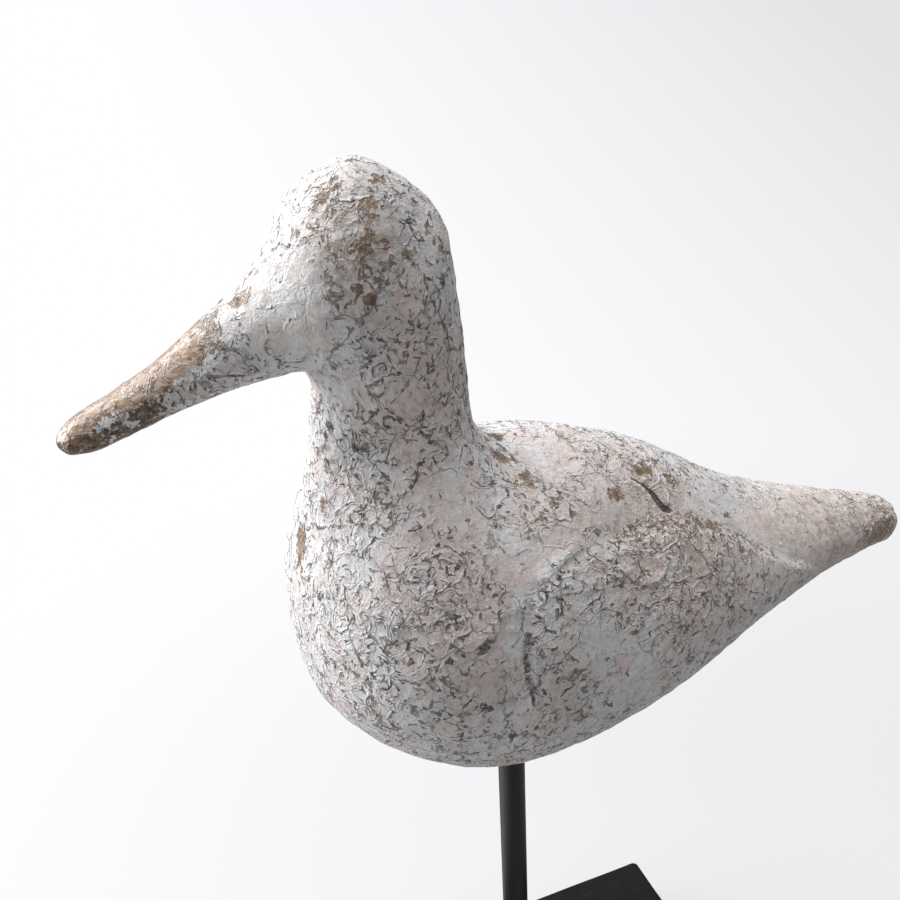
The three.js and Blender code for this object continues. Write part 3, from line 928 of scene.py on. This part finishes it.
def white_paint(tree, place, own, rim_highlight, dirt_and_shade, grit):
    """The white's colour: cool or pinkish, tanned and grimy in places, with painted shade below edges and a
    painted highlight on thick raised edges.
    """
    blush = weighed(tree, -0.5, (own, 0.12), (cloud(tree, place, 7, 3, 0.6), 0.9), (grit, 0.5))
    blush = weighed(tree, blush, (stored(tree, "pink"), 0.2))
    white = mixed(tree, between(tree, blush, 0.18, 0.46), WHITE_COOL, WHITE_PINK)
    stained = weighed(tree, 0.3, (between(tree, cloud(tree, place, 2.6, 2, 0.6), 0.42, 0.62), 0.7))
    tan = times(tree, stored(tree, "tanned"), stained)
    white = mixed(tree, tan, white, WHITE_TANNED)
    film = between(tree, cloud(tree, place, 1.3, 4, 0.7), 0.42, 0.7)
    # The white greys toward brown as grime and painted shade below edges, and in the pinkish places.
    grimy_shade_share = weighed(tree, 0.16, (dirt_and_shade, 0.4), (stored(tree, "pink"), 0.42))
    white = mixed(tree, times(tree, grimy_shade_share, film, 1.3), white, WHITE_DIRT_AND_SHADE)
    # A painted highlight on the raised edges of the paint.
    white = mixed(tree, times(tree, rim_highlight, 0.45), white, WHITE_PAINTED_HIGHLIGHT)
    mottle = weighed(tree, 0.90, (cloud(tree, place, 2.4, 2), 0.20))
    by_dab = weighed(tree, 0.95, (own, 0.1))
    scale = {0: white, "Scale": times(tree, mottle, by_dab)}
    return put(tree, "ShaderNodeVectorMath", scale, operation="SCALE").outputs[0]


def whitewash():
    """The bird's finish: whitewash in layers over brown, with dark wash and painted shadow at the foot of
    every edge and a painted highlight on raised edges. The shapes too small for the mesh are a relief of
    the same marks."""
    material, tree, shader, place = finish_of("whitewash_over_brown")
    speck = maths(tree, "SUBTRACT", cloud(tree, place, 0.95, 3, 0.6), 0.5)
    ragged = maths(tree, "SUBTRACT", cloud(tree, place, 1.4, 3, 0.6), 0.5)
    swell = between(tree, cloud(tree, place, 2.4, 1), 0.38, 0.60)
    busy = stored(tree, "busy")
    crest = stored(tree, "crest")
    quiet = weighed(tree, 1.0, (between(tree, busy, -0.1, -0.7), -0.8), (stored(tree, "groove"), -0.5))
    quiet = maths(tree, "MAXIMUM", quiet, 0.0)
    crowd = weighed(tree, cloud(tree, place, 7.5, 2), (busy, 0.13))
    crowded = between(tree, crowd, 0.46, 0.58)
    step_gate = between(tree, weighed(tree, cloud(tree, place, 3.0, 1), (busy, 0.05)), 0.42, 0.54)
    crack_gate = between(tree, cloud(tree, shifted(tree, place, (9, 2, 5)), 3.0, 1), 0.45, 0.56)
    curl_gate = between(tree, cloud(tree, shifted(tree, place, (5, 9, 9)), 2.6, 1), 0.45, 0.55)
    curl_gate = times(tree, weighed(tree, 0.15, (crowded, 0.7)), curl_gate)
    small_gate = between(tree, cloud(tree, shifted(tree, place, (1, 7, 4)), 2.6, 1), 0.49, 0.60)
    small_gate = times(tree, crowded, small_gate)

    foot, rim, dirt_and_shade = step_marks(tree, speck, ragged, step_gate, swell)
    flake_place = bent_place(tree, bent_place(tree, place, 6.0, 5.0), 1.3, 0.8)
    crack, flake_lip, raised, own = flakes(tree, flake_place, FLAKE_SIZE, speck, crack_gate, swell)
    curl_foot, curl_lip = curl_marks(tree, place, speck, curl_gate, swell, (1, 1, 1), CURL_SIZE)
    small_place = shifted(tree, flake_place, (20, 11, 3))
    small = flakes(tree, small_place, SMALL_FLAKE_SIZE, speck, small_gate, swell)
    small_crack, small_flake_lip, small_raised, _ = small
    upright_gate = weighed(tree, cloud(tree, place, 2.8, 1), (stored(tree, "upright"), 0.15))
    upright_gate = between(tree, upright_gate, 0.58, 0.68)
    upright = curl_marks(tree, place, speck, upright_gate, swell, (1, 1, 0.45), UPRIGHT_CURL_SIZE)
    upright_foot, upright_lip = upright
    pit = pits(tree, place, crowded)
    # The cracks add grime and painted shade beside them too.
    dirt_and_shade = highest(tree, dirt_and_shade, times(tree, crack, 0.5))
    dab_foot, dab_rim = dab_marks(tree, ragged, speck, swell)
    crest_foot = crest_marks(tree, ragged, speck, swell)
    gash = maths(tree, "ABSOLUTE", weighed(tree, stored(tree, "gash_side"), (ragged, 0.35)))
    opened = times(tree, stored(tree, "gash_open"), 1.1)
    # The gash's hollow is painted dark, as wash and painted shade in the cut.
    gash_wash_and_shade = between(tree, maths(tree, "SUBTRACT", opened, gash), 0.0, 0.25)
    small_foot = times(tree, highest(tree, foot, crack, curl_foot, small_crack, pit), quiet)
    low_lip = highest(tree, times(tree, curl_lip, 0.5), times(tree, small_flake_lip, crowded, 0.4))
    small_lip = times(tree, highest(tree, rim, flake_lip, low_lip), quiet)
    plates = weighed(tree, times(tree, raised, 0.25), (times(tree, small_raised, crowded), 0.1))
    # The dark marks: wash and painted shadow at the foot of every edge.
    dark = highest(tree, small_foot, upright_foot, dab_foot, crest_foot)

    grit = cloud(tree, place, 1.1, 3, 0.6)
    coarse = cloud(tree, place, 3.0, 2, 0.55)
    grain = cloud(tree, place, 0.5, 1)
    bared, brown = bared_brown(tree, place, grit, coarse)
    band = times(tree, bared, between(tree, stored(tree, "streaked"), -0.5, 0.3))
    kept = weighed(tree, 1.0, (band, -0.6))
    dark = times(tree, dark, kept)
    # Where the raised edges get a painted highlight.
    rim_highlight = highest(tree, small_lip, upright_lip, dab_rim)
    white = white_paint(tree, place, own, rim_highlight, times(tree, dirt_and_shade, quiet), grit)
    colour = mixed(tree, bared, white, brown)
    browner = weighed(tree, cloud(tree, place, 4, 2, 0.6), (crest, 0.25), (stored(tree, "tanned"), 0.25))
    # The colour of the dark marks, wash and painted shadow, browner near the wing's crest and the tan
    # stains.
    wash = mixed(tree, between(tree, browner, 0.42, 0.62), DARK_WASH_AND_SHADOW, WASH_BROWN)
    depth = weighed(tree, 0.42, (between(tree, cloud(tree, place, 1.7, 3, 0.65), 0.38, 0.6), 0.5))
    colour = mixed(tree, times(tree, dark, depth), colour, wash)
    # The gash's painted shade.
    colour = mixed(tree, times(tree, gash_wash_and_shade, 0.85), colour, DARK_WASH_AND_SHADOW)
    tree.links.new(colour, shader.inputs["Base Color"])
    gloss = (bared, BARE_ROUGHNESS - PAINT_ROUGHNESS)
    tree.links.new(weighed(tree, PAINT_ROUGHNESS, gloss), shader.inputs["Roughness"])

    height = weighed(tree, 0.0, (small_lip, 0.3), (small_foot, -0.32))
    height = weighed(tree, height, (upright_lip, 0.3), (upright_foot, -0.3))
    height = weighed(tree, height, (dab_rim, 0.3), (dab_foot, -0.3), (crest_foot, -0.35), (gash_wash_and_shade, -0.8))
    rough = times(tree, grit, weighed(tree, 0.4, (quiet, 0.6)))
    height = weighed(tree, height, (rough, 0.22), (coarse, 0.24), (grain, 0.16))
    height = weighed(tree, times(tree, height, kept), (bared, -0.2))
    height = weighed(tree, height, (plates, weighed(tree, 0.3, (quiet, 0.7))))
    bumped(tree, shader, height)
    return material


bird.data.materials.append(whitewash())
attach(bird, "root")
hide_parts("bird")

# The floor: a plain pale table far wider than the bird. Its glow is painted light, so that shadows stay
# faint:
# it is painted dimmer toward the right, as a white backdrop lit from the left is, and a painted shadow
# darkens it round the stand.
floor_mesh = bpy.data.meshes.new("floor")
reach = 40.0
corners = [(-reach, -reach, 0), (reach, -reach, 0), (reach, reach, 0), (-reach, reach, 0)]
floor_mesh.from_pydata(corners, [], [(0, 1, 2, 3)])
floor = bpy.data.objects.new("floor", floor_mesh)
scene.collection.objects.link(floor)
FLOOR_BRIGHT = (0.735, 0.73, 0.748, 1.0)
FLOOR_DIM = (0.505, 0.503, 0.513, 1.0)
FLOOR_SHADOW_CENTRE = (120.0, 60.0, 0.0)
FLOOR_SHADOW_REACH = 430.0
FLOOR_PAINT = (0.16, 0.16, 0.163, 1.0)
floor_finish, floor_tree, floor_shader, floor_place = finish_of("pale_floor")
floor_axes = put(floor_tree, "ShaderNodeSeparateXYZ", {0: floor_place}).outputs
# Painted falloff: the glow dims toward the right, less so farther back.
deep = maths(floor_tree, "MAXIMUM", maths(floor_tree, "ADD", floor_axes[1], 800.0), 100.0)
rightward = maths(floor_tree, "DIVIDE", floor_axes[0], deep)
floor_share = maths(floor_tree, "MULTIPLY_ADD", rightward, 1.4, -0.07, clamp=True)
floor_glow = mixed(floor_tree, floor_share, FLOOR_BRIGHT, FLOOR_DIM)
# A painted shadow: near the stand the glow is darkened by up to 16 percent, fading out with distance.
ends = {0: floor_place, 1: FLOOR_SHADOW_CENTRE}
from_stand = put(floor_tree, "ShaderNodeVectorMath", ends, operation="DISTANCE")
painted_stand_shadow = between(floor_tree, from_stand.outputs["Value"], FLOOR_SHADOW_REACH, 0.0)
floor_light = {0: floor_glow, "Scale": maths(floor_tree, "MULTIPLY_ADD", painted_stand_shadow, -0.16, 1.0)}
floor_glow = put(floor_tree, "ShaderNodeVectorMath", floor_light, operation="SCALE").outputs[0]
floor_tree.links.new(floor_glow, floor_shader.inputs["Emission Color"])
floor_shader.inputs["Emission Strength"].default_value = 1.0
floor_shader.inputs["Base Color"].default_value = FLOOR_PAINT
floor_shader.inputs["Roughness"].default_value = 1.0
floor_shader.inputs["Specular IOR Level"].default_value = 0.0
floor_mesh.materials.append(floor_finish)
floor.visible_diffuse = False
floor.visible_glossy = False
floor.visible_shadow = False

# The light: a wide soft window low on the left and behind, a soft sky above, a faint fill from the front,
# the pale table's light from below, and an even pale room all round.
WINDOW_TURN = 143.0
WINDOW_HEIGHT = 20.0
WINDOW_STRENGTH = 1.42
SKYLIGHT_TURN = 100.0
SKYLIGHT_HEIGHT = 76.0
SKYLIGHT_STRENGTH = 0.89
FILL_TURN = 205.0
FILL_HEIGHT = 28.0
FILL_STRENGTH = 0.02
BOUNCE_TURN = 165.0
BOUNCE_HEIGHT = -55.0
BOUNCE_STRENGTH = 0.22
ROOM_STRENGTH = 0.36
LIGHT_COLOUR = (0.985, 0.985, 1.0)


def soft_light(name, turned, raised, strength, spread):
    """A far light. It stands at this angle round from +X and above the floor, spread over this angle, and
    is as strong as a white wall that it would light to this value."""
    lamp = bpy.data.objects.new(name, bpy.data.lights.new(name, "SUN"))
    lamp.data.energy = strength * math.pi
    lamp.data.angle = math.radians(spread)
    lamp.data.color = LIGHT_COLOUR
    around, up = math.radians(turned), math.radians(raised)
    way = Vector((math.cos(around) * math.cos(up), math.sin(around) * math.cos(up), math.sin(up)))
    lamp.rotation_mode = "QUATERNION"
    lamp.rotation_quaternion = way.to_track_quat("Z", "Y")
    scene.collection.objects.link(lamp)
    return lamp


soft_light("window", WINDOW_TURN, WINDOW_HEIGHT, WINDOW_STRENGTH, spread=55.0)
soft_light("skylight", SKYLIGHT_TURN, SKYLIGHT_HEIGHT, SKYLIGHT_STRENGTH, spread=50.0)
soft_light("fill", FILL_TURN, FILL_HEIGHT, FILL_STRENGTH, spread=40.0)
soft_light("bounce", BOUNCE_TURN, BOUNCE_HEIGHT, BOUNCE_STRENGTH, spread=60.0)
room = bpy.data.worlds.new("room")
room.use_nodes = True
room.node_tree.nodes["Background"].inputs["Color"].default_value = (*LIGHT_COLOUR, 1.0)
room.node_tree.nodes["Background"].inputs["Strength"].default_value = ROOM_STRENGTH
scene.world = room
scene.view_settings.view_transform = "Standard"

# The camera stands close to the bird's left side, above its head, and looks down at it. The rod's lean and
# taper and the base's square corner in the photo put it there.
CAMERA_PLACE = (-0.0929, -0.2101, 0.3434)
CAMERA_RIGHT = (0.9271, -0.3717, -0.0482)
CAMERA_DOWN = (-0.2033, -0.3908, -0.8977)
CAMERA_FORWARD = (0.3148, 0.8421, -0.4379)
camera = bpy.data.objects.new("camera", bpy.data.cameras.new("camera"))
camera.data.lens = 40.0
camera.data.sensor_width = 36.0
camera.data.clip_start = 0.01
camera.data.clip_end = 200.0
axes = Matrix([CAMERA_RIGHT, [-v for v in CAMERA_DOWN], [-v for v in CAMERA_FORWARD]]).transposed()
camera.matrix_world = Matrix.Translation(CAMERA_PLACE) @ axes.to_4x4()
scene.collection.objects.link(camera)
scene.camera = camera

bpy.context.view_layer.update()
